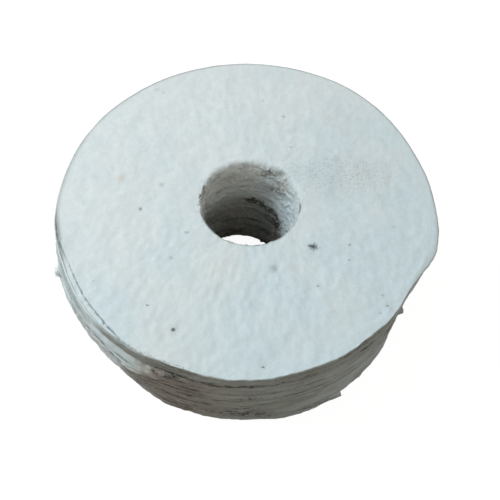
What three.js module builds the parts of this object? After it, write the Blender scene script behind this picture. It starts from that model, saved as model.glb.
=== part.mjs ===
// A laminated felt polishing wheel: seven felt discs glued face to face around one bore.
// Millimetres. +Z runs up the bore, the wheel lies on z = 0, and the origin is under the
// middle of the stack's bounding box.

import * as THREE from 'three';

// Driving dimensions.
const WHEEL_RADIUS = 50.8;
const BORE_RADIUS = 13.4;
const FELT_THICKNESS = 5.1;
const GLUE_THICKNESS = 0.34;
const RIM_ROUNDING = 0.5;
const GLUE_INSET = 1.4;
const RIM_SEGMENTS = 72;
const BORE_SEGMENTS = 36;

const PLY_PITCH = FELT_THICKNESS + GLUE_THICKNESS;
const DEGREE = Math.PI / 180;

// The discs from the bottom up. They were cut and stacked by hand, so each one's size, middle
// and hole differ a little.
//   centre  where the disc's middle lies, from the top disc's hole
//   hole    where its hole lies, from the same point
//   extra   how much larger than the wheel's radius it was cut
//   lobes   [number of lobes round the rim, their height, direction of one of them in degrees]
//   flats   [direction of a straight cut in degrees, its depth at the middle]
//   bulges  [direction in degrees, how far it stands out, half its width in degrees]
const PLIES = [
  {
    centre: [-1.0, 0.9],
    hole: [-2.6, -0.4],
    extra: -2.1,
    lobes: [3, 0.1, 250],
    flats: [],
    bulges: [[246, 0.8, 10], [290, 1.0, 10]],
  },
  {
    centre: [-1.5, 1.1],
    hole: [-2.2, -0.3],
    extra: -0.7,
    lobes: [4, 0.2, 20],
    flats: [[334, 1.2]],
    bulges: [],
  },
  {
    centre: [-2.0, 1.1],
    hole: [-2.4, 0.1],
    extra: -0.5,
    lobes: [3, 0.2, 240],
    flats: [[310, 0.5], [332, 0.6]],
    bulges: [[238, 0.8, 5]],
  },
  {
    centre: [-2.7, 0.7],
    hole: [-1.6, -0.1],
    extra: -0.1,
    lobes: [2, 0.2, 30],
    flats: [[330, 0.7]],
    bulges: [[236, 0.8, 5]],
  },
  {
    centre: [-2.9, 0.5],
    hole: [-0.6, 0.1],
    extra: 0.4,
    lobes: [5, 0.2, 215],
    flats: [[332, 0.9]],
    bulges: [[223, 0.5, 3]],
  },
  {
    centre: [-2.2, 0.4],
    hole: [-0.3, -0.1],
    extra: 0.1,
    lobes: [3, 0.1, 225],
    flats: [[331, 1.2]],
    bulges: [[228, 0.7, 20]],
  },
  {
    centre: [-0.7, 0.9],
    hole: [0, 0],
    extra: 0.1,
    lobes: [2, 0.25, 230],
    flats: [[329, 1.35], [311, 0.8], [26, 0.7]],
    bulges: [
      [226, 1.3, 25], [270, 0.75, 14], [284, 0.3, 6], [301, 0.4, 5],
      [350, 1.2, 8], [152, 0.4, 10], [190, 0.6, 10],
    ],
  },
];

// The angle from one direction to another, between -180 and 180 degrees, in radians.
function turn(from, to) {
  return Math.atan2(Math.sin(to - from), Math.cos(to - from));
}

// How far a disc's rim is from its own middle in one direction.
function rimRadius(ply, angle) {
  const size = WHEEL_RADIUS + ply.extra;
  const [count, height, peak] = ply.lobes;
  let radius = size + height * Math.cos(count * (angle - peak * DEGREE));
  for (const [direction, rise, halfWidth] of ply.bulges) {
    const away = turn(direction * DEGREE, angle) / (halfWidth * DEGREE);
    radius += rise * Math.exp(-away * away);
  }
  for (const [direction, depth] of ply.flats) {
    const facing = Math.cos(angle - direction * DEGREE);
    if (facing > 0) {
      radius = Math.min(radius, (size - depth) / facing);
    }
  }
  return radius;
}

// Points round a centre, one in each of the given number of directions.
function ring(centre, radiusAt, segments) {
  const points = [];
  for (let i = 0; i < segments; i++) {
    const angle = (i / segments) * 2 * Math.PI;
    const radius = radiusAt(angle);
    points.push(new THREE.Vector2(
      centre[0] + radius * Math.cos(angle),
      centre[1] + radius * Math.sin(angle),
    ));
  }
  return points;
}

function discWithHole(rim, hole) {
  const shape = new THREE.Shape(rim);
  shape.holes.push(new THREE.Path(hole));
  return shape;
}

// A felt disc with its four edges slightly rounded by the cutter, standing on its own z = 0.
function plyGeometry(ply) {
  const rim = ring(ply.centre, (angle) => rimRadius(ply, angle), RIM_SEGMENTS);
  const hole = ring(ply.hole, () => BORE_RADIUS, BORE_SEGMENTS);
  const geometry = new THREE.ExtrudeGeometry(discWithHole(rim, hole), {
    depth: FELT_THICKNESS - 2 * RIM_ROUNDING,
    bevelSize: RIM_ROUNDING,
    bevelOffset: -RIM_ROUNDING,
    bevelThickness: RIM_ROUNDING,
    bevelSegments: 1,
  });
  return geometry.translate(0, 0, RIM_ROUNDING);
}

function middle(a, b) {
  return [(a[0] + b[0]) / 2, (a[1] + b[1]) / 2];
}

function halfGap(a, b) {
  return Math.hypot(a[0] - b[0], a[1] - b[1]) / 2;
}

// The glue between two discs. It stops short of both rims and of both holes.
function filmGeometry(below, above) {
  const smaller = WHEEL_RADIUS + Math.min(below.extra, above.extra);
  const rimRadiusOfFilm = smaller - GLUE_INSET - halfGap(below.centre, above.centre);
  const holeRadiusOfFilm = BORE_RADIUS + GLUE_INSET + halfGap(below.hole, above.hole);
  const rim = ring(middle(below.centre, above.centre), () => rimRadiusOfFilm, RIM_SEGMENTS);
  const hole = ring(middle(below.hole, above.hole), () => holeRadiusOfFilm, BORE_SEGMENTS);
  return new THREE.ExtrudeGeometry(discWithHole(rim, hole), {
    depth: GLUE_THICKNESS,
    bevelEnabled: false,
  });
}

function feltMaterial() {
  return new THREE.MeshStandardMaterial({ color: 0xdbe1e1, roughness: 0.95, metalness: 0 });
}

function glueMaterial() {
  return new THREE.MeshStandardMaterial({ color: 0x4f493f, roughness: 0.6, metalness: 0 });
}

function placed(name, geometry, material, z) {
  const mesh = new THREE.Mesh(geometry, material);
  mesh.name = name;
  mesh.position.z = z;
  return mesh;
}

function buildWheel() {
  const wheel = new THREE.Group();
  wheel.name = 'felt_polishing_wheel';
  PLIES.forEach((ply, i) => {
    wheel.add(placed(`felt_ply_${i + 1}`, plyGeometry(ply), feltMaterial(), i * PLY_PITCH));
    const above = PLIES[i + 1];
    if (above) {
      const z = i * PLY_PITCH + FELT_THICKNESS;
      wheel.add(placed(`glue_film_${i + 1}`, filmGeometry(ply, above), glueMaterial(), z));
    }
  });
  const centre = new THREE.Box3().setFromObject(wheel).getCenter(new THREE.Vector3());
  wheel.position.set(-centre.x, -centre.y, 0);
  return wheel;
}

export default buildWheel();
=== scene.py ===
import math
from itertools import product

import bpy
import numpy as np
from mathutils import Matrix, Vector


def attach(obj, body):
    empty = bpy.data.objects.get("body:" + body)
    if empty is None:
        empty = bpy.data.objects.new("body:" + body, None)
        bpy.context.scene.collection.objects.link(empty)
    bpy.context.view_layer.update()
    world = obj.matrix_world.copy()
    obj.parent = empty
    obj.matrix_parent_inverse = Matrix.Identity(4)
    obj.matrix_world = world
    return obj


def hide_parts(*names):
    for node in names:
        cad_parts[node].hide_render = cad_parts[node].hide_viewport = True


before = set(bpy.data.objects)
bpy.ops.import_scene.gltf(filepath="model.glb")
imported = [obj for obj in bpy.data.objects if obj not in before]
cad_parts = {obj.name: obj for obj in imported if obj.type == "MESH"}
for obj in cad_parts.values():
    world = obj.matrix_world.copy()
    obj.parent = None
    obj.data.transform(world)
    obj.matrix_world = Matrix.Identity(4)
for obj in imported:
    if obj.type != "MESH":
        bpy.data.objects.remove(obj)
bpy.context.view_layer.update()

# A laminated felt polishing wheel on a pale floor. The CAD frame gives every disc's rim, hole
# and height; this script gives the felt its relief, frayed edges, dirty marks, painted shade and loose
# fibres.
# Lengths are in metres. Directions round the wheel are in degrees: 0 is on the right, 90 at the
# back, 180 on the left and 270 at the front.

MM = 0.001
PLY_COUNT = 7
FILM_COUNT = PLY_COUNT - 1

# How finely the felt is modelled: points round a disc, steps across its flat faces, and stations
# round its edges and down its walls. The last four are the (length, finer step) beside an edge.
DIRECTIONS = 640
TOP_STEP = 0.57 * MM
UNDERSIDE_STEP = 0.60 * MM
COVERED_TOP_STEP = 4 * MM
COVERED_UNDERSIDE_STEP = 5 * MM
CORNER_STATIONS = 5
TOP_CORNER_STATIONS = 9
WALL_STATIONS = 22
TOP_HOLE_SIDE = (1.2 * MM, 0.20 * MM)
TOP_RIM_SIDE = (2.7 * MM, 0.15 * MM)
LEDGE_SIDE = (2.6 * MM, 0.26 * MM)
UNDERSIDE_SIDE = (0.8 * MM, 0.40 * MM)

# The camera, measured from the middle of the top disc's hole in wheel radii.
VIEW_DISTANCE = 3.966
VIEW_ELEVATION = math.radians(55.5)
VIEW_TARGET_RIGHT = 0.012
VIEW_TARGET_DOWN = 0.488
VIEW_ROLL = math.radians(2.77)
LENS_MM = 53.9
SENSOR_MM = 36.0


# ---- random fields

LATTICE = 64
TILT = Matrix.Rotation(0.6, 3, "X") @ Matrix.Rotation(0.9, 3, "Y") @ Matrix.Rotation(0.4, 3, "Z")


def smooth_noise(points, span, seed, stretch=(1, 1, 1)):
    """Values between -1 and 1 that change smoothly over about span metres, longer along stretch."""
    grid = np.random.default_rng(seed).uniform(-1, 1, (LATTICE,) * 3)
    cells = (points / (span * np.array(stretch))) @ np.array(TILT).T
    base = np.floor(cells).astype(int)
    part = cells - base
    part = part * part * (3 - 2 * part)
    total = np.zeros(len(points))
    for corner in product((0, 1), repeat=3):
        weight = np.prod(np.where(corner, part, 1 - part), axis=1)
        x, y, z = ((base + corner) % LATTICE).T
        total += weight * grid[x, y, z]
    return total


def ring_noise(angles, radius, span, seed):
    """The same, along a circle of that radius."""
    circle = np.column_stack((np.cos(angles), np.sin(angles), np.full(len(angles), 0.37)))
    return smooth_noise(circle * radius, span, seed)


def turn(start, angles):
    """The angle from start to each of angles, between -pi and pi."""
    return np.arctan2(np.sin(angles - start), np.cos(angles - start))


def hump(angles, middle_deg, half_width_deg):
    """1 at the middle, fading smoothly to 0 away from it."""
    away = turn(math.radians(middle_deg), angles) / math.radians(half_width_deg)
    return np.exp(-away * away)


def limited(values):
    return np.clip(values, 0, 1)


def ease(t):
    """0 up to t = 0, 1 from t = 1, smooth between."""
    t = limited(t)
    return t * t * (3 - 2 * t)


def between(angles, start_deg, end_deg, fade_deg):
    """1 from start to end and 0 elsewhere, with a soft change at both."""
    middle = math.radians((start_deg + end_deg) / 2)
    half = math.radians((end_deg - start_deg) / 2)
    away = np.abs(turn(middle, angles))
    return ease((half - away) / math.radians(fade_deg) + 0.5)


# ---- what the frame says

ANGLES = np.arange(DIRECTIONS) / DIRECTIONS * 2 * math.pi
CAD_CORNER_DEG = 3.0  # the CAD rims are polygons; their corners are smoothed over this angle
FAR_CORNER_DEG = 8.0  # and over this one at the back, where the felt is smoother
SOLID_HEIGHT = 1.0 * MM  # a ply is thicker than this, a glue film thinner


def averaged(values, half_width_deg):
    """Values round a circle, averaged over about that angle."""
    weights = hump(ANGLES, 0, half_width_deg)
    return np.fft.irfft(np.fft.rfft(values) * np.fft.rfft(weights / weights.sum()), DIRECTIONS)


def rounded_off(values):
    """A CAD rim without its corners."""
    back = between(ANGLES, 5, 175, 30)
    return (1 - back) * averaged(values, CAD_CORNER_DEG) + back * averaged(values, FAR_CORNER_DEG)


class Disc:
    """One CAD disc: its heights, the middle and radius of its hole, and its rim in every direction."""

    def __init__(self, node):
        points = np.array([v.co[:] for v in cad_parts[node].data.vertices])
        self.node = node
        self.low = points[:, 2].min()
        self.high = points[:, 2].max()
        height = self.high - self.low
        middle = (self.low + self.high) / 2
        if height > SOLID_HEIGHT:  # a ply's edges are rounded, so only its waist shows its full size
            points = points[np.abs(points[:, 2] - middle) < 0.45 * height]
        away = np.hypot(points[:, 0], points[:, 1])
        inner = points[away < away.max() / 2][:, :2]
        self.centre = (inner.min(0) + inner.max(0)) / 2
        self.hole = np.hypot(*(inner - self.centre).T).mean()
        outer = points[away >= away.max() / 2][:, :2] - self.centre
        angle = np.arctan2(outer[:, 1], outer[:, 0])
        order = np.argsort(angle)
        radius = np.hypot(outer[:, 0], outer[:, 1])
        self.rim = rounded_off(np.interp(ANGLES, angle[order], radius[order], period=2 * math.pi))


PLIES = [Disc(f"felt_ply_{i + 1}") for i in range(PLY_COUNT)]
FILMS = [Disc(f"glue_film_{i + 1}") for i in range(FILM_COUNT)]
TOP = PLIES[-1]
BOTTOM = PLIES[0]
WHEEL_RADIUS = float(TOP.rim.mean())


def wheel_point(right, away, z=None):
    """A place on the top face, in wheel radii from the middle of its hole."""
    x, y = TOP.centre + np.array((right, away)) * WHEEL_RADIUS
    return Vector((x, y, TOP.high if z is None else z))


# ---- ring-shaped meshes

class Section:
    """The closed outline of a ring's cross-section, as stations from the hole's top edge, out over
    the top, down the rim and back underneath. A station has a place between hole (0) and rim (1), a
    height, an outward direction (out, up), and how many roundings it is moved out and up."""

    def __init__(self):
        self.stations = []

    def add(self, share, z, out, up, out_roundings, up_roundings):
        self.stations.append((share, z, out, up, out_roundings, up_roundings))

    def face(self, shares, z, up):
        for share in shares:
            self.add(share, z, 0, up, 1 - 2 * share, 0)

    def heights(self, low, high):
        """Where the stations are, from 0 at the underside to 1 at the top, as a column."""
        return (np.array([station[1] for station in self.stations])[:, None] - low) / (high - low)

    def wall(self, share, start, end, stations):
        side = 2 * share - 1
        down = math.copysign(1, start - end)
        for t in np.linspace(0, 1, stations)[1:-1]:
            self.add(share, start + t * (end - start), side, 0, 0, down * (2 * t - 1))

    def corner(self, share, z, first_deg, last_deg, stations=CORNER_STATIONS):
        side = 2 * share - 1
        lift = math.copysign(1, first_deg + last_deg)
        for angle in np.radians(np.linspace(first_deg, last_deg, stations)):
            out, up = math.cos(angle), math.sin(angle)
            self.add(share, z, out, up, out - side, up - lift)


def ring_section(low, high, top_shares, bottom_shares, wall_stations):
    section = Section()
    section.face(top_shares, high, 1)
    section.corner(1, high, 90, 0, TOP_CORNER_STATIONS)
    section.wall(1, high, low, wall_stations)
    section.corner(1, low, 0, -90)
    section.face(bottom_shares, low, -1)
    section.corner(0, low, -90, -180)
    section.wall(0, low, high, wall_stations)
    section.corner(0, high, 180, 90)
    return section


def face_shares(width, hole_side, middle_step, rim_side):
    """Places across a flat face, as shares of its width, fine at both sides. hole_side and
    rim_side are (length, step)."""
    (hole_length, hole_step), (rim_length, rim_step) = hole_side, rim_side
    middle = width - hole_length - rim_length
    places = [
        np.arange(0, hole_length, hole_step)[1:],
        hole_length + np.linspace(0, middle, max(2, round(middle / middle_step))),
        width - np.arange(0, rim_length, rim_step)[::-1][:-1],
    ]
    return np.concatenate(places) / width


class Ring:
    """The points of a ring-shaped skin, as one row of DIRECTIONS points for each station."""

    def __init__(self, disc, section, hole, rim, top_roundings, bottom_roundings):
        """The roundings are those of the hole's edge and of the rim's edge."""
        share, z, out, up, out_roundings, up_roundings = np.array(section.stations).T[:, :, None]
        upper = z > (disc.low + disc.high) / 2
        hole_rounding, rim_rounding = [
            np.where(upper, top, bottom) for top, bottom in zip(top_roundings, bottom_roundings)
        ]
        rounding = np.where(share < 0.5, hole_rounding, rim_rounding)
        self.disc = disc
        self.hole, self.rim = hole, rim
        self.radius = (1 - share) * hole + share * rim + out_roundings * rounding
        self.z = np.broadcast_to(z + up_roundings * rounding, self.radius.shape)
        self.angle = np.broadcast_to(ANGLES, self.radius.shape)
        self.out = np.broadcast_to(out, self.radius.shape)
        self.up = np.broadcast_to(up, self.radius.shape)

    def points(self):
        x = self.disc.centre[0] + self.radius * np.cos(self.angle)
        y = self.disc.centre[1] + self.radius * np.sin(self.angle)
        return np.column_stack((x.ravel(), y.ravel(), self.z.ravel()))

    def noise(self, span, seed, stretch=(1, 1, 1)):
        return smooth_noise(self.points(), span, seed, stretch).reshape(self.radius.shape)

    def push(self, amount):
        """Moves the skin outwards, or inwards where amount is below 0."""
        self.radius = self.radius + self.out * amount
        self.z = self.z + self.up * amount

    def rim_wall(self):
        return limited(self.out)

    def bore_wall(self):
        return limited(-self.out)

    def top_side(self):
        return limited(self.up)

    def from_rim(self):
        return self.rim - self.radius

    def from_hole(self):
        return self.radius - self.hole

    def height(self):
        """0 at the disc's underside, 1 at its top."""
        return (self.z - self.disc.low) / (self.disc.high - self.disc.low)

    def near_glue(self, reach):
        """1 at the disc's two faces, 0 further than reach from both."""
        to_face = np.minimum(self.disc.high - self.z, self.z - self.disc.low)
        return limited(1 - to_face / reach)

    def mesh(self, name, **attributes):
        rows = len(self.radius)
        station, step = np.arange(rows)[:, None], np.arange(DIRECTIONS)[None, :]
        next_station, next_step = (station + 1) % rows, (step + 1) % DIRECTIONS
        corners = [station * DIRECTIONS + step, next_station * DIRECTIONS + step,
                   next_station * DIRECTIONS + next_step, station * DIRECTIONS + next_step]
        faces = np.stack([c.ravel() for c in np.broadcast_arrays(*corners)], axis=1)
        return mesh_object(name, self.points(), faces, **attributes)


def mesh_object(name, points, faces, **attributes):
    """A smooth-shaded mesh from arrays of points and of faces that all have as many corners."""
    mesh = bpy.data.meshes.new(name)
    count, sides = faces.shape
    mesh.vertices.add(len(points))
    mesh.vertices.foreach_set("co", points.astype(np.float32).ravel())
    mesh.loops.add(count * sides)
    mesh.loops.foreach_set("vertex_index", faces.astype(np.int32).ravel())
    mesh.polygons.add(count)
    mesh.polygons.foreach_set("loop_start", np.arange(count, dtype=np.int32) * sides)
    mesh.polygons.foreach_set("use_smooth", np.ones(count, dtype=bool))
    for key, values in attributes.items():
        layer = mesh.attributes.new(key, "FLOAT", "POINT")
        layer.data.foreach_set("value", np.asarray(values, np.float32).ravel())
    mesh.update(calc_edges=True)
    mesh.validate()
    made = bpy.data.objects.new(name, mesh)
    bpy.context.scene.collection.objects.link(made)
    return made


# ---- felt

# How round the edges are. A lower disc's is sharp at the front and soft on the left.
SHARP_EDGE = 0.12 * MM
SOFT_EDGE = 0.95 * MM
WORN_EDGE = 3.20 * MM
BORE_EDGE = 0.05 * MM
TOP_FRONT_EDGE = 0.40 * MM
TOP_BACK_EDGE = 0.90 * MM
TOP_HOLE_EDGE = 1.50 * MM
SOFT_LEFT = (150, 245)

# The disc under the top one has a worn, rounded ledge at the front left, kept lit while the rest of its
# ledge gets painted shade; it flares there and has tufts.
WORN_DISC = PLY_COUNT - 1
LIT_LEDGE_SPAN = (223, 255)
WORN_AT = 237
FLARE_AT = 239
FLARE = 1.40 * MM
TUFT_AT = 201.5

# Where a rim swells: (direction, half width in degrees, height in mm).
TOP_SWELLS = [(30, 7, 0.25), (58, 12, 0.35)]
LOWER_SWELLS = [(312, 14, 0.25), (326, 9, 0.28)]

# The top disc's smooth rim, behind.
SMOOTH_BACK = (-5, 190)

# The paler side starts at the back. Where it ends on each disc, from the bottom disc up; the ledges of
# the lower discs but the worn one are kept lit over the same span and get painted shade elsewhere.
BACK = 90
PALE_UNTIL = [227, 229, 232, 234, 236, 244, 227]

# Old smeared soil and glue, and a painted shadow under the top disc's overhanging edge at the front
# right:
# (disc, direction, half width in degrees, height and half height in shares of the disc, strength).
SMEARS_AND_SHADOW = [
    (7, 246, 9, 0.10, 0.12, 0.75),
    (7, 266, 11, 0.13, 0.10, 0.60),
    (7, 279, 2.2, 0.16, 0.16, 0.95),
    (7, 289, 2.5, 0.20, 0.12, 0.5),
    (6, 216, 16, 0.05, 0.14, 0.6),
    (5, 214, 9, 0.90, 0.22, 0.40),
    (7, 210, 10, 0.10, 0.18, 0.8),
    (6, 231, 4, 0.25, 0.20, 0.6),
    # a painted shadow under the top disc's overhanging edge
    (7, 312, 12, 0.80, 0.35, 0.34),
    (5, 250, 9, 0.55, 0.16, 0.35),
    (4, 250, 7, 0.25, 0.12, 0.30),
    (3, 262, 8, 0.65, 0.12, 0.25),
    (7, 300, 5, 0.75, 0.14, 0.35),
    (6, 296, 8, 0.60, 0.16, 0.20),
    (6, 259, 5, 0.95, 0.10, 0.5),
    (5, 271, 6, 0.60, 0.25, 0.38),
    (5, 259, 3, 0.30, 0.12, 0.4),
    (4, 257, 5, 0.85, 0.14, 0.45),
    (3, 274, 4.5, 0.30, 0.35, 0.42),
    (2, 275, 6, 0.60, 0.40, 0.70),
    (2, 258, 12, 0.45, 0.16, 0.36),
    (1, 277, 7, 0.70, 0.30, 0.6),
    (1, 256, 16, 0.80, 0.14, 0.50),
    (1, 300, 8, 0.75, 0.16, 0.35),
    (2, 312, 8, 0.35, 0.16, 0.35),
    (4, 78, 12, 0.70, 0.20, 0.9),
    (4, 64, 8, 0.60, 0.25, 1.0),
    (4, 52, 7, 0.35, 0.30, 1.0),
    (4, 41, 5, 0.05, 0.25, 0.9),
    (3, 38, 6, 0.85, 0.35, 0.8),
    (3, 100, 14, 0.95, 0.12, 0.3),
    (7, 162, 6, 0.75, 0.25, 0.6),
    (6, 158, 7, 0.50, 0.30, 0.6),
    (5, 150, 9, 0.60, 0.30, 0.7),
    (6, 60, 12, 0.10, 0.25, 0.35),
    (7, 62, 20, 0.40, 0.50, 0.60),
    (6, 49, 11, 0.65, 0.50, 0.45),
    (6, 223, 11, 0.28, 0.14, 0.50),
    (6, 248, 8, 0.80, 0.40, 0.42),
    (7, 250, 7, 0.05, 0.20, 0.45),
]


def cut_edge(disc, seed):
    """The hand-cut hole and rim of a disc, a little ragged, and most at the front."""
    hole = disc.hole + MM * (
        0.07 * ring_noise(ANGLES, disc.hole, 7 * MM, seed)
        + 0.03 * ring_noise(ANGLES, disc.hole, 2 * MM, seed + 1)
    )
    rough = 0.25 + 0.95 * between(ANGLES, 205, 350, 20)
    if disc is TOP:
        rough = rough - 0.15 * between(ANGLES, *SMOOTH_BACK, 20)
    swells = TOP_SWELLS if disc is TOP else LOWER_SWELLS
    swollen = sum(height * hump(ANGLES, middle, half_width) for middle, half_width, height in swells)
    rim = disc.rim + swollen * MM + rough * MM * (
        0.14 * ring_noise(ANGLES, WHEEL_RADIUS, 9 * MM, seed + 2)
        + 0.09 * ring_noise(ANGLES, WHEEL_RADIUS, 3.5 * MM, seed + 3)
        + 0.06 * ring_noise(ANGLES, WHEEL_RADIUS, 1.3 * MM, seed + 4)
    )
    return hole, rim


CUT_EDGES = [cut_edge(disc, 100 * (index + 1)) for index, disc in enumerate(PLIES)]


def edge_from(origin, disc, radius):
    """A disc's edge in every direction, measured from the middle of origin's hole."""
    x = disc.centre[0] + radius * np.cos(ANGLES) - origin.centre[0]
    y = disc.centre[1] + radius * np.sin(ANGLES) - origin.centre[1]
    return np.interp(ANGLES, np.mod(np.arctan2(y, x), 2 * math.pi), np.hypot(x, y), period=2 * math.pi)


def cut_as_one(seam):
    """How far two neighbouring discs' walls run into one another, round the bore and round the rim.
    The seam's number is that of the disc below it."""
    if seam == FILM_COUNT:
        outside = between(ANGLES, 262, 322, 14)
    else:
        outside = (0.6 if seam == 1 else 1.0) * between(ANGLES, 240, 400, 24)
    return np.ones(DIRECTIONS), outside


def leaning(number, edge, heights):
    """How far a disc's wall leans, at each height, to meet its neighbours'. edge is 0 for the hole and
    1 for the rim."""
    disc, own = PLIES[number - 1], CUT_EDGES[number - 1][edge]
    lean = np.zeros((len(heights), DIRECTIONS))
    for neighbour, seam, upwards in ((number + 1, number, 1), (number - 1, number - 1, -1)):
        if 1 <= neighbour <= PLY_COUNT:
            theirs = edge_from(disc, PLIES[neighbour - 1], CUT_EDGES[neighbour - 1][edge])
            half_way = (theirs - own) / 2 * cut_as_one(seam)[edge]
            lean += half_way * ease(upwards * (2 * heights - 1))
    return lean


def felt_relief(ring, seed):
    """Needle felt's soft lumps, flatter on the cut walls."""
    flatness = 0.35 + 0.65 * np.abs(ring.up)
    rougher = 1 + 0.55 * between(ring.angle, 195, 345, 70)
    return MM * flatness * (
        0.14 * ring.noise(11 * MM, seed)
        + 0.13 * ring.noise(3.4 * MM, seed + 1, stretch=(1, 1.4, 1))
        + 0.10 * rougher * ring.noise(1.6 * MM, seed + 2, stretch=(1, 1.3, 1))
        + 0.05 * rougher * ring.noise(0.8 * MM, seed + 3)
    )


def sawn_relief(ring, seed):
    """The rougher cut walls: ridges that run round the wheel, and torn clumps."""
    ridges = ring.noise(0.75 * MM, seed, stretch=(7, 7, 1))
    fine = ring.noise(0.45 * MM, seed + 1, stretch=(4, 4, 1))
    clumps = ring.noise(1.6 * MM, seed + 2)
    torn = limited(ring.noise(0.8 * MM, seed + 3) - 0.15)
    shreds = ring.noise(0.5 * MM, seed + 4, stretch=(1.5, 1.5, 1))
    frayed = hump(ring.angle, 172, 20) + hump(ring.angle, 35, 25)
    return MM * (
        ring.rim_wall() * (0.16 * ridges + 0.09 * fine + 0.12 * clumps)
        + ring.bore_wall() * (0.12 * ridges + 0.20 * clumps + (0.2 + 0.5 * frayed) * torn + 0.20 * shreds)
    )


def depth_in_stack(ring, number):
    """0 at the top of the wheel, 1 at the bottom."""
    return (PLY_COUNT - number + 1 - ring.height()) / PLY_COUNT


def bore_lit(ring, number):
    """The right side of the bore, where the light falls and no painted shade is put. It is narrower near
    the top of the wheel and lower down.
    """
    depth = depth_in_stack(ring, number)
    end = 50 - 85 * limited(depth - 0.40) - 22 * limited(1 - depth / 0.22)
    towards_back = np.degrees(turn(0, ring.angle))
    return between(ring.angle, -80, 100, 20) * ease((end - towards_back) / 16 + 0.5)


def on_the_left(angle):
    """0 at the back, rising slowly to 1 on the left."""
    return ease(np.degrees(turn(math.radians(118), angle)) / 55)


class GrimeAndShade:
    """The patterns that the soil and painted shade on one disc follow, and the walls that they lie on."""

    def __init__(self, ring, number, seed):
        self.ring, self.number = ring, number
        streaks = 0.5 + 0.45 * ring.noise(0.9 * MM, seed, stretch=(9, 9, 1))
        streaks = streaks + 0.35 * ring.noise(0.4 * MM, seed + 3, stretch=(6, 6, 1))
        self.patches = 0.5 + 0.5 * ring.noise(7 * MM, seed + 1, stretch=(1, 1, 0.5))
        self.streaks = streaks * self.patches
        self.spots = 0.5 + 0.5 * ring.noise(1.4 * MM, seed + 2, stretch=(2.5, 2.5, 1))
        self.broken = np.clip(0.85 + 1.4 * ring.noise(0.5 * MM, seed + 4), 0, 1.4)
        wander = 2.5 * ring.noise(5 * MM, seed + 5) + 3.5 * ring.noise(1.6 * MM, seed + 6)
        self.wander = np.radians(wander)
        self.ledge = self.shaded_ledge()
        self.rim = np.maximum(limited(1.8 * ring.rim_wall()), self.ledge)
        self.bore = limited(1.5 * ring.bore_wall())

    def shaded_ledge(self):
        """The top edge of a lower disc, where it stands out past the disc above: painted shade, except on
        its lit span.
        """
        ring = self.ring
        if ring.disc is TOP:
            return np.zeros(ring.radius.shape)
        pale_span = LIT_LEDGE_SPAN if self.number == WORN_DISC else (BACK, PALE_UNTIL[self.number - 1])
        lit = between(ring.angle, *pale_span, 8) * on_the_left(ring.angle)
        return limited(1.6 - ring.from_rim() / MM) * ring.top_side() * (1 - lit)

    def on_rim(self):
        """Streaks and dirty seams, darker at the front and paler on the left, and painted shade on the
        lower discs' ledges.
        """
        angle, number = self.ring.angle, self.number
        worn = number == WORN_DISC
        pale_span = between(angle + self.wander, BACK, PALE_UNTIL[number - 1], 7) * on_the_left(angle)
        paler_right = (0.08 + 0.07 * (PLY_COUNT - number)) * between(angle, 297, 400, 34)
        share = (1 - (0.90 if worn else 0.82) * pale_span) * (1 - paler_right)
        seams = self.ring.near_glue(0.7 * MM) * limited(self.spots * 1.9 - 0.7)
        dirt_and_shade = share * (0.34 + 0.44 * self.streaks + 0.20 * seams) + 0.16 * hump(angle, 251, 10)
        # The ledge term paints shade on the lower discs' ledges outside their lit span.
        return self.rim * dirt_and_shade + (0.4 if worn else 0.3) * self.ledge

    def in_bore(self):
        """Painted shade, darker with depth and away from where the light falls, and dirty spots."""
        depth = depth_in_stack(self.ring, self.number)
        lit = bore_lit(self.ring, self.number)
        # Painted shade: darker with depth, with streaks, and none where the light falls.
        depth_shade = 0.34 * depth + 0.26 * ease((depth - 0.34) / 0.22) + 0.27 * self.streaks
        spotted = (0.20 * (1 - lit) + 0.24 * lit) * limited(2.2 * self.spots - 1.0)
        return self.bore * ((1 - 0.96 * lit) * depth_shade + spotted)

    def cleaned_behind(self, dirt_and_shade):
        """The top disc's soil and painted shade: hardly any on its rim behind, but for its worn upper
        edge.
        """
        ring = self.ring
        behind = 1 - between(ring.angle, 205, 330, 12)
        worn_edge = limited(1.5 - ring.from_rim() / (1.1 * MM)) * ring.top_side()
        worn_left = limited(1.5 - ring.from_rim() / (2.0 * MM)) * ring.top_side()
        shaded = 0.45 * hump(ring.angle, 20, 50)
        edge = worn_edge * behind * (1 - shaded) * (0.20 + 0.16 * self.patches)
        return dirt_and_shade * (1 - 0.85 * behind * self.rim) + edge + 0.22 * worn_left * hump(ring.angle, 194, 7)

    def smears_and_shadow(self):
        """The disc's own smeared marks and painted shadow, from the list."""
        height = self.ring.height()
        spotted = self.broken * limited(self.spots * 2.2 - 0.35)
        total = 0
        for number, direction, half_width, middle, half_height, strength in SMEARS_AND_SHADOW:
            if number == self.number:
                level = np.exp(-((height - middle) / half_height) ** 2)
                total = total + strength * hump(self.ring.angle, direction, half_width) * level
        return np.maximum(self.rim, self.bore) * spotted * total


def soiling_and_shade(ring, number, seed):
    """How dark the felt is painted, from 0 to 1: how dirty it is, and painted shade in the bore, on the
    ledges and under the top disc's edge at the front right.
    """
    grime = GrimeAndShade(ring, number, seed)
    dirt_and_shade = grime.on_rim() + grime.in_bore()
    if ring.disc is TOP:
        dirt_and_shade = grime.cleaned_behind(dirt_and_shade)
    return limited(dirt_and_shade + grime.smears_and_shadow())


def crease_inset(ring):
    """How far inside the rim the top disc's skin has split."""
    wander = 0.12 * ring.noise(3 * MM, 71) + 0.06 * ring.noise(0.8 * MM, 73)
    return MM * (0.45 + 1.32 * between(ring.angle, 199, 231, 14) + wander)


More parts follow.
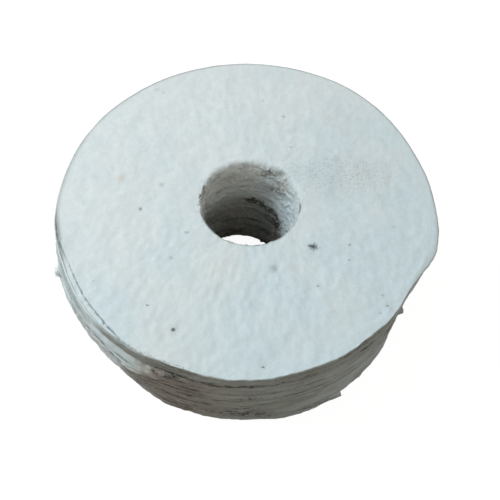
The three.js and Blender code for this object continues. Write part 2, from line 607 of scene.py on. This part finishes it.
def crease(ring):
    """The split in the top disc's skin near its left rim: a step down outside it, and a crack that is
    also painted dark as shade.
    """
    angle = ring.angle
    present = between(angle, 186, 250, 12)
    step = MM * present * (0.20 + 0.35 * between(angle, 198, 234, 12))
    open_crack = 0.56 + 0.22 * between(angle, 209, 234, 8)
    torn = limited(0.20 + 1.6 * ring.noise(0.55 * MM, 72))
    frayed = limited(0.75 + 0.5 * ring.noise(0.7 * MM, 74))
    broken = np.where(between(angle, 233, 262, 2) > 0.5, torn, frayed)
    beyond = (crease_inset(ring) - ring.from_rim()) / (0.14 * MM)
    crack = present * open_crack * broken * np.exp(-beyond * beyond) * ring.top_side()
    lowered = step * (0.5 + 0.5 * np.tanh(beyond)) * ring.top_side() + 0.8 * MM * crack
    return -lowered, crack


def hole_line(ring):
    """The thin dark line round the near side of the top disc's hole."""
    near = between(ring.angle, 192, 366, 16)
    broken = limited(0.65 + 0.6 * ring.noise(2.5 * MM, 75))
    left = between(ring.angle, 148, 212, 16)
    bits = limited(2.6 * ring.noise(0.55 * MM, 76) - 0.5)
    from_edge = (ring.from_hole() - 0.20 * MM) / (0.26 * MM)
    from_left = (ring.from_hole() - 0.20 * MM) / (0.50 * MM)
    strength = 0.62 + 0.38 * hump(ring.angle, 215, 25) + 0.38 * hump(ring.angle, 345, 20)
    line = strength * near * broken * np.exp(-from_edge * from_edge)
    flecks = left * bits * np.exp(-from_left * from_left)
    return np.maximum(line, flecks) * (ring.z > ring.disc.high - MM)


def dust(ring):
    """Where fine dark specks lie on the top face: along the split, round the hole, on one patch."""
    angle = ring.angle
    inside = (ring.from_rim() - 0.9 * crease_inset(ring)) / (0.45 * MM)
    along_split = between(angle, 205, 262, 14) * (0.4 + 0.6 * between(angle, 226, 275, 8))
    along_split = along_split * np.exp(-inside * inside)
    by_hole = np.exp(-((ring.from_hole() - 0.5 * MM) / (0.9 * MM)) ** 2)
    by_hole = by_hole * (0.25 + 0.75 * between(angle, 145, 215, 20))
    middle = wheel_point(0.45, 0.21)
    right = ring.points()[:, 0].reshape(angle.shape) - middle.x
    away = ring.points()[:, 1].reshape(angle.shape) - middle.y
    patch = np.exp(-(right / (17 * MM)) ** 4 - (away / (7 * MM)) ** 2)
    return (along_split + 0.6 * by_hole + 0.42 * patch) * ring.top_side()


def nub(ring, direction, half_width, height, reach):
    """A tuft of felt pulled out of a rim."""
    level = np.exp(-((ring.height() - height) / 0.32) ** 2)
    return reach * hump(ring.angle, direction, half_width) * level


def flake(ring, start_deg, tip_deg, height, reach):
    """A sliver left by the cutter, that grows from start to tip and ends there."""
    along = turn(math.radians(start_deg), ring.angle) / math.radians(tip_deg - start_deg)
    level = np.exp(-((ring.height() - height) / 0.40) ** 2)
    return reach * np.where(along <= 1, limited(along) ** 1.2, 0) * level


def pulled_out(ring, number):
    """What stands out of a disc's rim."""
    if ring.disc is BOTTOM:
        return flake(ring, start_deg=293, tip_deg=307.6, height=0.6, reach=1.8 * MM)
    if number == WORN_DISC:
        tuft = nub(ring, direction=TUFT_AT, half_width=1.2, height=0.5, reach=1.8 * MM)
        return tuft + nub(ring, direction=327, half_width=0.8, height=0.5, reach=1.2 * MM)
    if ring.disc is TOP:
        undercut = 1.6 * between(ring.angle, 318, 350, 12) * limited(1 - ring.height())
        return MM * (0.9 * hump(ring.angle, 343, 5) - undercut)
    return 0


def flat_faces(disc, width):
    """Where the mesh lines run on a disc's top and underside, as shares of its width."""
    if disc is TOP:
        top = face_shares(width, TOP_HOLE_SIDE, TOP_STEP, TOP_RIM_SIDE)
    else:
        top = face_shares(width, LEDGE_SIDE, COVERED_TOP_STEP, LEDGE_SIDE)
    under_step = UNDERSIDE_STEP if disc is BOTTOM else COVERED_UNDERSIDE_STEP
    return top, face_shares(width, UNDERSIDE_SIDE, under_step, UNDERSIDE_SIDE)[::-1]


def edge_roundings(number):
    """How round a disc's edges are, at its hole and at its rim: on top, then underneath."""
    soft_left = SHARP_EDGE + (SOFT_EDGE - SHARP_EDGE) * between(ANGLES, *SOFT_LEFT, 25)
    top_hole, top_rim = BORE_EDGE, soft_left
    if number == PLY_COUNT:
        top_hole = TOP_FRONT_EDGE + (TOP_HOLE_EDGE - TOP_FRONT_EDGE) * between(ANGLES, 10, 150, 60)
        top_rim = TOP_FRONT_EDGE + (TOP_BACK_EDGE - TOP_FRONT_EDGE) * between(ANGLES, 5, 165, 50)
    if number == WORN_DISC:
        top_rim = soft_left + WORN_EDGE * hump(ANGLES, WORN_AT, 9)
    return (top_hole, top_rim), (BORE_EDGE, soft_left)


def browned_and_shaded(ring, number):
    """Where the felt is aged and its soil brownish, at the front, and where warm painted shade falls in
    the bore away from the light.
    """
    front = (0.3 if ring.disc is TOP else 1.0) * hump(ring.angle, 250, 14)
    under_edge = ease((TOP.high - ring.z) / (3 * MM))
    bore = limited(1.5 * ring.bore_wall()) * (1 - bore_lit(ring, number)) * under_edge
    bore = bore * (1 - 0.7 * hump(ring.angle, 60, 22))
    return np.maximum(front, bore)


def felt_ply(number):
    """One disc's skin: its cut shape, then its relief and marks."""
    disc = PLIES[number - 1]
    seed = 100 * number
    hole, rim = CUT_EDGES[number - 1]
    top_shares, bottom_shares = flat_faces(disc, (rim - hole).mean())
    section = ring_section(disc.low, disc.high, top_shares, bottom_shares, WALL_STATIONS)
    heights = section.heights(disc.low, disc.high)
    hole, rim = hole + leaning(number, 0, heights), rim + leaning(number, 1, heights)
    if number == WORN_DISC:
        rim = rim + FLARE * hump(ANGLES, FLARE_AT, 7) * (1 - heights)
    ring = Ring(disc, section, hole, rim, *edge_roundings(number))
    # Soil with painted shade, and aged felt with warm painted shade in the bore.
    marks = {"grime": soiling_and_shade(ring, number, seed + 20), "brown_and_warm_shade": browned_and_shaded(ring, number)}
    push = felt_relief(ring, seed + 30) + sawn_relief(ring, seed + 40)
    push = push + ring.rim_wall() * pulled_out(ring, number)
    if disc is TOP:
        lowered, crack = crease(ring)
        # The crack is painted dark as shade, and the dark line round the hole joins it.
        marks["crack"] = np.maximum(crack, hole_line(ring))
        marks["dust"] = dust(ring)
        smoother = 0.7 * between(ring.angle, *SMOOTH_BACK, 20) * ease(1.6 - ring.from_rim() / (4 * MM))
        push = push * (1 - smoother) + lowered
    ring.push(push)
    if disc is BOTTOM:  # it lies on the floor
        ring.z = np.maximum(ring.z, disc.low)
    return ring.mesh(f"felt_disc_{number}", **marks)


# ---- glue

FILM_FACE_STATIONS = 12
FILM_WALL_STATIONS = 3
SHORT_GLUE = (150, 240)


def film_edges(film, number, seed):
    """The glue's hole and rim. It ends about flush, but short of the rims on the left."""
    reach = 0.5 + 0.5 * ring_noise(ANGLES, WHEEL_RADIUS, 6 * MM, seed)
    ragged = ring_noise(ANGLES, WHEEL_RADIUS, 1.5 * MM, seed + 1)
    hole_reach = 0.5 + 0.5 * ring_noise(ANGLES, film.hole, 5 * MM, seed + 2)
    in_bore, outside = cut_as_one(number)
    holes, rims = [
        [edge_from(film, PLIES[index], CUT_EDGES[index][edge]) for index in (number - 1, number)]
        for edge in (0, 1)
    ]
    smaller = np.minimum(*rims) + outside * np.abs(rims[0] - rims[1]) / 2
    wider = np.maximum(*holes) - in_bore * np.abs(holes[0] - holes[1]) / 2
    short = MM * (0.01 + 0.05 * reach + 1.2 * between(ANGLES, *SHORT_GLUE, 15))
    rim = smaller - short + 0.04 * MM * ragged
    hole = wider + MM * (0.14 * hole_reach - 0.07)
    return hole, rim


def glue_film(number):
    """The glue between two discs. In the bore it is matted with felt, and painted darker lower down as
    shade.
    """
    film = FILMS[number - 1]
    seed = 1000 + 50 * number
    rounding = 0.48 * (film.high - film.low)
    shares = np.linspace(0, 1, FILM_FACE_STATIONS)
    section = ring_section(film.low, film.high, shares, shares[::-1], FILM_WALL_STATIONS)
    hole, rim = film_edges(film, number, seed)
    ring = Ring(film, section, hole, rim, (rounding, rounding), (rounding, rounding))
    ring.push(0.02 * MM * ring.noise(0.8 * MM, seed + 3))
    in_the_bore = ring.from_hole() < WHEEL_RADIUS / 4
    # Painted shade: darker lower down the bore.
    grime = in_the_bore * ((PLY_COUNT - number) / PLY_COUNT) ** 2
    return ring.mesh(f"glue_line_{number}", grime=grime, felted=0.85 * in_the_bore)


# ---- loose fibres

FIBRE_SIDES = 3
FIBRE_STEPS = 5
FIBRE_RADIUS = 0.014 * MM
RIM_FIBRES = 500
BORE_FIBRES = 160
RIM_SEED = 7000
BORE_SEED = 7200


def fibres(name, roots, directions, lengths, radius, seed):
    """Short curling fibres as thin tapered tubes, all in one mesh."""
    rng = np.random.default_rng(seed)
    count = len(roots)
    along = directions / np.linalg.norm(directions, axis=1)[:, None]
    across = np.cross(along, (0.0, 0.0, 1.0) + rng.normal(0, 0.3, (count, 3)))
    across /= np.linalg.norm(across, axis=1)[:, None]
    bend = rng.normal(0, 0.8, (count, 1))
    curl = rng.normal(0, 0.5, (count, 1))
    rise = np.cross(along, across)
    rings = []
    for t in np.linspace(0, 1, FIBRE_STEPS):
        middle = roots + lengths[:, None] * (t * along + 0.5 * t * t * (bend * across + curl * rise))
        thick = radius * (1 - 0.75 * t)
        for k in range(FIBRE_SIDES):
            a = 2 * math.pi * k / FIBRE_SIDES
            rings.append(middle + thick * (math.cos(a) * across + math.sin(a) * rise))
    points = np.stack(rings, axis=1).reshape(-1, 3)
    points[:, 2] = np.maximum(points[:, 2], BOTTOM.low)
    faces = []
    for s in range(FIBRE_STEPS - 1):
        for k in range(FIBRE_SIDES):
            n = (k + 1) % FIBRE_SIDES
            a, b = s * FIBRE_SIDES, (s + 1) * FIBRE_SIDES
            faces += [(a + k, a + n, b + n), (a + k, b + n, b + k)]
    last = (FIBRE_STEPS - 1) * FIBRE_SIDES
    faces += [(0, 2, 1), (last, last + 1, last + 2)]
    starts = np.arange(count)[:, None, None] * FIBRE_STEPS * FIBRE_SIDES
    return mesh_object(name, points, (np.array(faces)[None] + starts).reshape(-1, 3))


def outward_at(angle):
    """Level directions away from the axis."""
    return np.column_stack((np.cos(angle), np.sin(angle), np.zeros(len(angle))))


def places(disc, outward, away, z):
    """Points at a distance from the middle of a disc's hole, at heights z."""
    x = disc.centre[0] + away * outward[:, 0]
    y = disc.centre[1] + away * outward[:, 1]
    return np.column_stack((x, y, z))


def rim_fibres(number, count):
    """Fibres that stick out of one ply's rim, mostly at its upper and lower edges."""
    disc = PLIES[number - 1]
    rng = np.random.default_rng(RIM_SEED + number)
    angle = rng.uniform(0, 2 * math.pi, count)
    rim = np.interp(angle, ANGLES, disc.rim, period=2 * math.pi) - 0.12 * MM
    z = disc.low + (disc.high - disc.low) * (0.08 + 0.84 * rng.beta(0.6, 0.6, count))
    outward = outward_at(angle)
    headings = outward + rng.normal(0, 0.9, (count, 3))
    lengths = rng.uniform(0.4, 1.1, count) * MM
    roots = places(disc, outward, rim, z)
    seed = RIM_SEED + 100 + number
    return fibres(f"rim_fibres_{number}", roots, headings, lengths, FIBRE_RADIUS, seed)


def bore_fibres(number, count):
    """Fibres that stick out into the bore."""
    disc = PLIES[number - 1]
    rng = np.random.default_rng(BORE_SEED + number)
    outward = outward_at(rng.uniform(0, 2 * math.pi, count))
    z = rng.uniform(disc.low, disc.high, count)
    headings = rng.normal(0, 0.8, (count, 3)) - outward
    lengths = rng.uniform(0.4, 1.3, count) * MM
    roots = places(disc, outward, disc.hole + 0.1 * MM, z)
    seed = BORE_SEED + 100 + number
    return fibres(f"bore_fibres_{number}", roots, headings, lengths, FIBRE_RADIUS, seed)


def bore_tuft():
    """The pale fibres that stand out of the bore's far right side."""
    disc = PLIES[WORN_DISC - 1]
    rng = np.random.default_rng(81)
    count = 70
    outward = outward_at(np.radians(rng.normal(64, 7, count)))
    z = disc.low + (disc.high - disc.low) * rng.uniform(0.1, 1.2, count)
    headings = rng.normal(0, 0.8, (count, 3)) - outward + (0.0, 0.0, 0.5)
    lengths = rng.uniform(0.6, 1.8, count) * MM
    roots = places(disc, outward, disc.hole + 0.1 * MM, z)
    return fibres("bore_tuft", roots, headings, lengths, 0.05 * MM, 82)


def rim_tuft():
    """The fibres of the tuft that stands out of the left side."""
    disc = PLIES[WORN_DISC - 1]
    rng = np.random.default_rng(83)
    count = 80
    outward = outward_at(np.radians(rng.normal(TUFT_AT, 1.0, count)))
    z = disc.low + (disc.high - disc.low) * rng.uniform(0.2, 0.8, count)
    rim = disc.rim[round(TUFT_AT / 360 * DIRECTIONS)] + rng.uniform(0.2, 1.4, count) * MM
    headings = outward + rng.normal(0, 0.7, (count, 3))
    lengths = rng.uniform(0.5, 1.3, count) * MM
    return fibres("rim_tuft", places(disc, outward, rim, z), headings, lengths, 0.03 * MM, 84)


def lint():
    """A tangle of dark threads stuck to the top face."""
    middle = wheel_point(0.333, -0.254)
    rng = np.random.default_rng(77)
    count = 36
    roots = np.array(middle) + rng.normal(0, 1, (count, 3)) * MM * (0.50, 0.34, 0.0)
    roots[:, 2] = middle.z + rng.uniform(0.02, 0.25, count) * MM
    headings = rng.normal(0, 1, (count, 3)) * (1.0, 0.7, 0.08)
    lengths = rng.uniform(0.4, 1.3, count) * MM
    return fibres("lint", roots, headings, lengths, 0.055 * MM, 78)


# ---- materials

class Shader:
    """A node material under construction, with short ways to add its nodes."""

    def __init__(self, name):
        self.material = bpy.data.materials.new(name)
        self.material.use_nodes = True
        self.tree = self.material.node_tree
        self.surface = self.tree.nodes["Principled BSDF"]
        self.place = self.add("ShaderNodeTexCoord").outputs["Object"]

    def put(self, socket, value):
        """Links a socket to a value, or sets it."""
        if isinstance(value, bpy.types.NodeSocket):
            self.tree.links.new(value, socket)
        else:
            socket.default_value = value

    def add(self, kind, inputs=None, **settings):
        node = self.tree.nodes.new(kind)
        for key, value in settings.items():
            setattr(node, key, value)
        for key, value in (inputs or {}).items():
            self.put(node.inputs[key], value)
        return node

    def math(self, operation, a, b=0.0, clamp=False):
        return self.add("ShaderNodeMath", {0: a, 1: b}, operation=operation, use_clamp=clamp).outputs[0]

    def noise(self, scale, detail=2.0, roughness=0.5, distortion=0.0, place=None):
        inputs = {"Vector": place or self.place, "Scale": scale, "Detail": detail,
                  "Roughness": roughness, "Distortion": distortion}
        return self.add("ShaderNodeTexNoise", inputs).outputs["Fac"]

    def vector(self, operation, a, b):
        return self.add("ShaderNodeVectorMath", {0: a, 1: b}, operation=operation).outputs[0]

    def measure(self, operation, a, b):
        """A number from two vectors, such as their distance."""
        return self.add("ShaderNodeVectorMath", {0: a, 1: b}, operation=operation).outputs["Value"]

    def ramp(self, value, low, high, start=0.0, end=1.0):
        """start where value is at or under low, end where it is at or over high, smooth between."""
        inputs = {"Value": value, "From Min": low, "From Max": high, "To Min": start, "To Max": end}
        return self.add("ShaderNodeMapRange", inputs, interpolation_type="SMOOTHSTEP").outputs["Result"]

    def attribute(self, name):
        return self.add("ShaderNodeAttribute", attribute_name=name).outputs["Fac"]

    def mix(self, factor, a, b, blend="MIX"):
        node = self.add("ShaderNodeMix", {0: factor}, data_type="RGBA", blend_type=blend)
        for socket, colour in ((6, a), (7, b)):
            self.put(node.inputs[socket], (*colour, 1) if isinstance(colour, tuple) else colour)
        return node.outputs[2]

    def bump(self, height, distance, strength=1.0, normal=None):
        inputs = {"Height": height, "Distance": distance, "Strength": strength}
        if normal:
            inputs["Normal"] = normal
        return self.add("ShaderNodeBump", inputs).outputs["Normal"]

    def set(self, **values):
        for key, value in values.items():
            self.put(self.surface.inputs[key.replace("_", " ")], value)


# Colours, and the direction towards which the felt's tint turns warmer.
FELT_COOL = (0.680, 0.785, 0.825)
FELT_WARM = (0.775, 0.815, 0.820)
# The aged felt colour also paints warm shade in the bore.
FELT_AGED_AND_SHADED = (0.745, 0.735, 0.680)
WARMER_SIDE = (-0.7, 0.7, 0.0)
# These colours also paint shade on the ledges, low in the bore, under the top's edge and in the crack;
# the first is the warm shade in the unlit bore.
DIRT_AND_WARM_SHADE_BROWN = (0.335, 0.302, 0.268)
DIRT_AND_SHADE_OLIVE = (0.300, 0.330, 0.308)
DIRT_AND_SHADE_DARK = (0.035, 0.032, 0.026)
SPECK_DARK = (0.05, 0.06, 0.07)
HALO_GREY = (0.30, 0.32, 0.33)
DUST_GREY = (0.17, 0.18, 0.18)
GLUE_DARK = (0.22, 0.215, 0.195)
GLUE_PALE = (0.44, 0.43, 0.39)
GLUE_FELTED = (0.52, 0.52, 0.49)
FIBRE_SHADED = (0.55, 0.56, 0.55)
FIBRE_WHITE = (0.80, 0.83, 0.83)
LINT_BLACK = (0.03, 0.035, 0.04)
LINT_GREY = (0.12, 0.13, 0.14)
FLOOR_DARKER = (0.12, 0.12, 0.12)
FLOOR_PALER = (0.13, 0.13, 0.13)
TABLE_WARM = (0.36, 0.30, 0.24)
ROOM_WARM = (1.0, 0.96, 0.90)
WINDOW_COOL = (0.82, 0.94, 1.0)


def grey(shader, value):
    return shader.add("ShaderNodeCombineColor", {0: value, 1: value, 2: value}).outputs[0]


def felt_colour(shader):
    """White felt with faint darker lumps, dirty and painted with shade where the mesh says."""
    along = shader.vector("MULTIPLY", shader.place, (1.0, 0.6, 1.0))
    patches = shader.noise(60, 3, 0.6)
    blotches = shader.noise(240, 2, 0.5, place=along)
    clumps = shader.noise(750, 3, 0.6, place=along)
    hairs = shader.noise(3000, 2, 0.6, 1.2)
    warmer = shader.measure("DOT_PRODUCT", shader.place, WARMER_SIDE)
    warmer = shader.ramp(warmer, -WHEEL_RADIUS, WHEEL_RADIUS)
    warmer = shader.math("ADD", warmer, shader.ramp(patches, 0.3, 0.7, -0.35, 0.35), clamp=True)
    white = shader.mix(warmer, FELT_COOL, FELT_WARM)
    shade = shader.math("ADD", shader.ramp(clumps, 0.25, 0.75, 0.94, 1.0),
                        shader.ramp(hairs, 0.3, 0.7, -0.05, 0.0))
    shade = shader.math("ADD", shade, shader.ramp(blotches, 0.3, 0.7, -0.025, 0.0))
    white = shader.mix(1.0, white, grey(shader, shade), "MULTIPLY")
    # Aged felt at the front, and warm painted shade in the bore where no light falls.
    white = shader.mix(shader.math("MULTIPLY", shader.attribute("brown_and_warm_shade"), 0.9), white, FELT_AGED_AND_SHADED)
    # Soil, with painted shade in the bore, on the ledges and under the top's edge.
    dirt_and_shade = shader.attribute("grime")
    break_up = shader.noise(1500, 3, 0.65, 0.4)
    light = shader.math("MULTIPLY", shader.ramp(dirt_and_shade, 0.0, 0.55),
                        shader.ramp(break_up, 0.2, 0.6, 0.72, 1.0))
    dark = shader.math("MULTIPLY", shader.ramp(dirt_and_shade, 0.45, 1.0),
                       shader.ramp(break_up, 0.3, 0.6, 0.6, 1.0))
    # The crack is painted dark here as shade.
    dark = shader.math("MAXIMUM", dark, shader.attribute("crack"))
    tint = shader.mix(shader.attribute("brown_and_warm_shade"), DIRT_AND_SHADE_OLIVE, DIRT_AND_WARM_SHADE_BROWN)
    return shader.mix(dark, shader.mix(light, white, tint), DIRT_AND_SHADE_DARK)


def felt_bump(shader):
    """Matted fibres under the size that the mesh holds."""
    matted = shader.noise(1500, 4, 0.65, 1.6)
    hairs = shader.noise(6000, 2, 0.6, 2.0)
    fine = shader.bump(hairs, 0.03 * MM)
    return shader.bump(matted, 0.10 * MM, normal=fine)


def felt_surface(shader):
    shader.set(Normal=felt_bump(shader), Roughness=shader.ramp(shader.noise(900), 0.3, 0.7, 0.88, 0.98),
               Sheen_Weight=0.15, Sheen_Roughness=0.6, Specular_IOR_Level=0.15)


def plain_felt_material():
    shader = Shader("dirty_felt")
    shader.set(Base_Color=felt_colour(shader))
    felt_surface(shader)
    return shader.material


# Dark specks on the top face: (right, away) in wheel radii from the hole, radius in mm, darkness.
SPECKS = [
    (-0.575, -0.071, 0.45, 0.55),
    (-0.338, -0.753, 0.55, 0.95),
    (0.356, -0.480, 0.28, 0.7),
    (0.515, -0.323, 0.28, 0.6),
    (0.522, -0.235, 0.26, 0.55),
    (0.674, -0.519, 0.26, 0.6),
    (0.692, -0.575, 0.30, 0.85),
    (0.656, -0.618, 0.24, 0.35),
    (0.095, -0.922, 0.30, 0.75),
    (-0.474, -0.628, 0.25, 0.6),
    (-0.753, -0.512, 0.22, 0.5),
    (0.754, -0.111, 0.24, 0.5),
    (0.170, 0.603, 0.24, 0.4),
    (0.215, 0.386, 0.28, 0.4),
    (0.053, 0.719, 0.22, 0.35),
]


def spot(shader, place, right, away, radius, edge):
    """1 inside a round mark on the top face, fading to 0 over its edge share."""
    apart = shader.measure("DISTANCE", place, wheel_point(right, away))
    return shader.ramp(apart, radius * (1 - edge), radius * (1 + edge), 1.0, 0.0)


# Fainter marks: (right, away), radius in mm, strength, colour.
SMUDGES = [
    (0.136, -0.394, 1.0, 0.45, (0.30, 0.31, 0.32)),
    (-0.318, -0.204, 0.5, 0.5, (0.22, 0.23, 0.24)),
    (-0.386, -0.356, 0.5, 0.4, (0.30, 0.31, 0.31)),
    (-0.477, 0.091, 0.7, 0.4, (0.34, 0.36, 0.37)),
    (-0.697, 0.121, 1.2, 0.4, (0.60, 0.55, 0.42)),
    (0.485, 0.591, 5.0, 0.12, (0.62, 0.52, 0.50)),
    (0.420, 0.190, 6.5, 0.16, (0.45, 0.48, 0.48)),
    (0.640, 0.250, 6.0, 0.14, (0.45, 0.48, 0.48)),
    (-0.568, 0.765, 0.7, 0.35, (0.40, 0.42, 0.42)),
    (-0.530, 0.745, 0.5, 0.35, (0.40, 0.42, 0.42)),
    (0.333, -0.254, 0.9, 0.35, (0.16, 0.18, 0.19)),
]


def wobbled_place(shader):
    """Places that wander a little, so that round marks come out ragged."""
    wobble = shader.add("ShaderNodeTexNoise", {"Vector": shader.place, "Scale": 1500, "Detail": 3.0})
    shift = shader.vector("SUBTRACT", wobble.outputs["Color"], (0.5, 0.5, 0.5))
    shift = shader.vector("MULTIPLY", shift, (1.8 * MM, 1.2 * MM, 0.0))
    return shader.vector("ADD", shader.place, shift)


def top_felt_material():
    """The felt of the top disc, with its smudges, specks and dust."""
    shader = Shader("marked_felt")
    colour = felt_colour(shader)
    place = wobbled_place(shader)
    for right, away, radius, strength, tone in SMUDGES:
        mark = spot(shader, place, right, away, radius * MM, 0.7)
        colour = shader.mix(shader.math("MULTIPLY", mark, strength), colour, tone)
    for right, away, radius, darkness in SPECKS:
        mark = spot(shader, place, right, away, radius * MM, 0.5)
        colour = shader.mix(shader.math("MULTIPLY", mark, darkness), colour, SPECK_DARK)
        halo = spot(shader, place, right, away, 2.4 * radius * MM, 0.6)
        colour = shader.mix(shader.math("MULTIPLY", halo, 0.10 * darkness), colour, HALO_GREY)
    dots = shader.ramp(shader.noise(1300, 3, 0.8), 0.50, 0.64)
    dots = shader.math("MULTIPLY", dots, shader.attribute("dust"))
    colour = shader.mix(shader.math("MULTIPLY", dots, 0.7, clamp=True), colour, DUST_GREY)
    shader.set(Base_Color=colour)
    felt_surface(shader)
    return shader.material


def glue_material():
    shader = Shader("cured_glue")
    lumps = shader.noise(900, 3)
    colour = shader.mix(lumps, GLUE_DARK, GLUE_PALE)
    colour = shader.mix(shader.attribute("felted"), colour, GLUE_FELTED)
    shader.set(Base_Color=shader.mix(shader.attribute("grime"), colour, DIRT_AND_SHADE_DARK),
               Roughness=shader.ramp(lumps, 0.3, 0.7, 0.45, 0.8),
               Normal=shader.bump(lumps, 0.1 * MM))
    return shader.material


def thread_material(name, scale, dark, pale, roughness):
    """Fibres or threads whose colour varies between two, over 1 / scale metres."""
    shader = Shader(name)
    shader.set(Base_Color=shader.mix(shader.noise(scale, 2), dark, pale), Roughness=roughness)
    return shader.material


def floor_material():
    shader = Shader("pale_floor")
    grain = shader.noise(40, 2)
    shader.set(Base_Color=shader.mix(grain, FLOOR_DARKER, FLOOR_PALER), Roughness=0.9,
               Specular_IOR_Level=0.0, Emission_Color=(1, 1, 1, 1), Emission_Strength=0.95)
    return shader.material


def table_material():
    shader = Shader("warm_bounce")
    shader.set(Base_Color=(*TABLE_WARM, 1), Roughness=1.0, Specular_IOR_Level=0.0)
    return shader.material


# ---- the object

def place_piece(piece, node, material):
    """Gives a piece its material, hides the CAD node that it stands for, and hangs the piece from the
    root.
    """
    piece.data.materials.append(material)
    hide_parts(node)
    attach(piece, "root")


def make_wheel():
    felt, marked = plain_felt_material(), top_felt_material()
    glue = glue_material()
    fibre = thread_material("loose_fibre", 300, FIBRE_SHADED, FIBRE_WHITE, 0.85)
    for number, disc in enumerate(PLIES, 1):
        piece = felt_ply(number)
        place_piece(piece, disc.node, marked if disc is TOP else felt)
        loose = [rim_fibres(number, RIM_FIBRES), bore_fibres(number, BORE_FIBRES)]
        if number == WORN_DISC:
            loose += [bore_tuft(), rim_tuft()]
        for tuft in loose:
            tuft.data.materials.append(fibre)
        if disc is TOP:
            loose.append(lint())
            threads = thread_material("dark_lint", 900, LINT_BLACK, LINT_GREY, 0.8)
            loose[-1].data.materials.append(threads)
        for tuft in loose:
            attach(tuft, "root")
    for number, film in enumerate(FILMS, 1):
        place_piece(glue_film(number), film.node, glue)


# ---- floor, light and camera

FLOOR_HALF = 3.0
TABLE_DROP = 0.2 * MM
ROOM_STRENGTH = 0.52


def plane(name, half, z, material):
    corners = np.array([(-half, -half, z), (half, -half, z), (half, half, z), (-half, half, z)])
    made = mesh_object(name, corners, np.array([[0, 1, 2, 3]]))
    made.data.materials.append(material)
    return made


def make_floor():
    """A pale floor that the camera sees, and just under it the warm table that lights the felt."""
    floor = plane("floor", FLOOR_HALF, 0.0, floor_material())
    floor.visible_diffuse = False
    floor.visible_glossy = False
    table = plane("table", FLOOR_HALF, -TABLE_DROP, table_material())
    table.visible_camera = False


def softbox(name, azimuth_deg, elevation_deg, distance, size, watts, colour):
    """A square lamp that faces the middle of the wheel's top."""
    lamp = bpy.data.lights.new(name, "AREA")
    lamp.size = size
    lamp.energy = watts
    lamp.color = colour
    made = bpy.data.objects.new(name, lamp)
    bpy.context.scene.collection.objects.link(made)
    a, e = math.radians(azimuth_deg), math.radians(elevation_deg)
    away = Vector((math.cos(a) * math.cos(e), math.sin(a) * math.cos(e), math.sin(e)))
    middle = Vector((0, 0, TOP.high))
    made.location = middle + away * distance
    made.rotation_euler = away.to_track_quat("Z", "Y").to_euler()


def make_light():
    """A warm dim room, and a cool window at the left."""
    world = bpy.data.worlds.new("room")
    bpy.context.scene.world = world
    world.use_nodes = True
    background = world.node_tree.nodes["Background"]
    background.inputs["Color"].default_value = (*ROOM_WARM, 1)
    background.inputs["Strength"].default_value = ROOM_STRENGTH
    softbox("window", azimuth_deg=171, elevation_deg=46, distance=0.46, size=0.30, watts=1.53,
            colour=WINDOW_COOL)
    bpy.context.scene.view_settings.view_transform = "Standard"


def make_camera():
    """The photo's viewpoint, with its slight roll."""
    hole = wheel_point(0, 0)
    target = hole + WHEEL_RADIUS * Vector((VIEW_TARGET_RIGHT, 0, -VIEW_TARGET_DOWN))
    direction = Vector((0, -math.cos(VIEW_ELEVATION), math.sin(VIEW_ELEVATION)))
    eye = hole + VIEW_DISTANCE * WHEEL_RADIUS * direction
    ahead = (target - eye).normalized()
    right = ahead.cross(Vector((0, 0, 1))).normalized()
    up = right.cross(ahead)
    c, s = math.cos(VIEW_ROLL), math.sin(VIEW_ROLL)
    rolled_right, rolled_up = right * c + up * s, up * c - right * s
    turned = Matrix((rolled_right, rolled_up, -ahead)).transposed().to_4x4()
    data = bpy.data.cameras.new("camera")
    data.lens = LENS_MM
    data.sensor_width = SENSOR_MM
    data.clip_start = 0.01
    camera = bpy.data.objects.new("camera", data)
    camera.matrix_world = Matrix.Translation(eye) @ turned
    bpy.context.scene.collection.objects.link(camera)
    bpy.context.scene.camera = camera


make_wheel()
make_floor()
make_light()
make_camera()
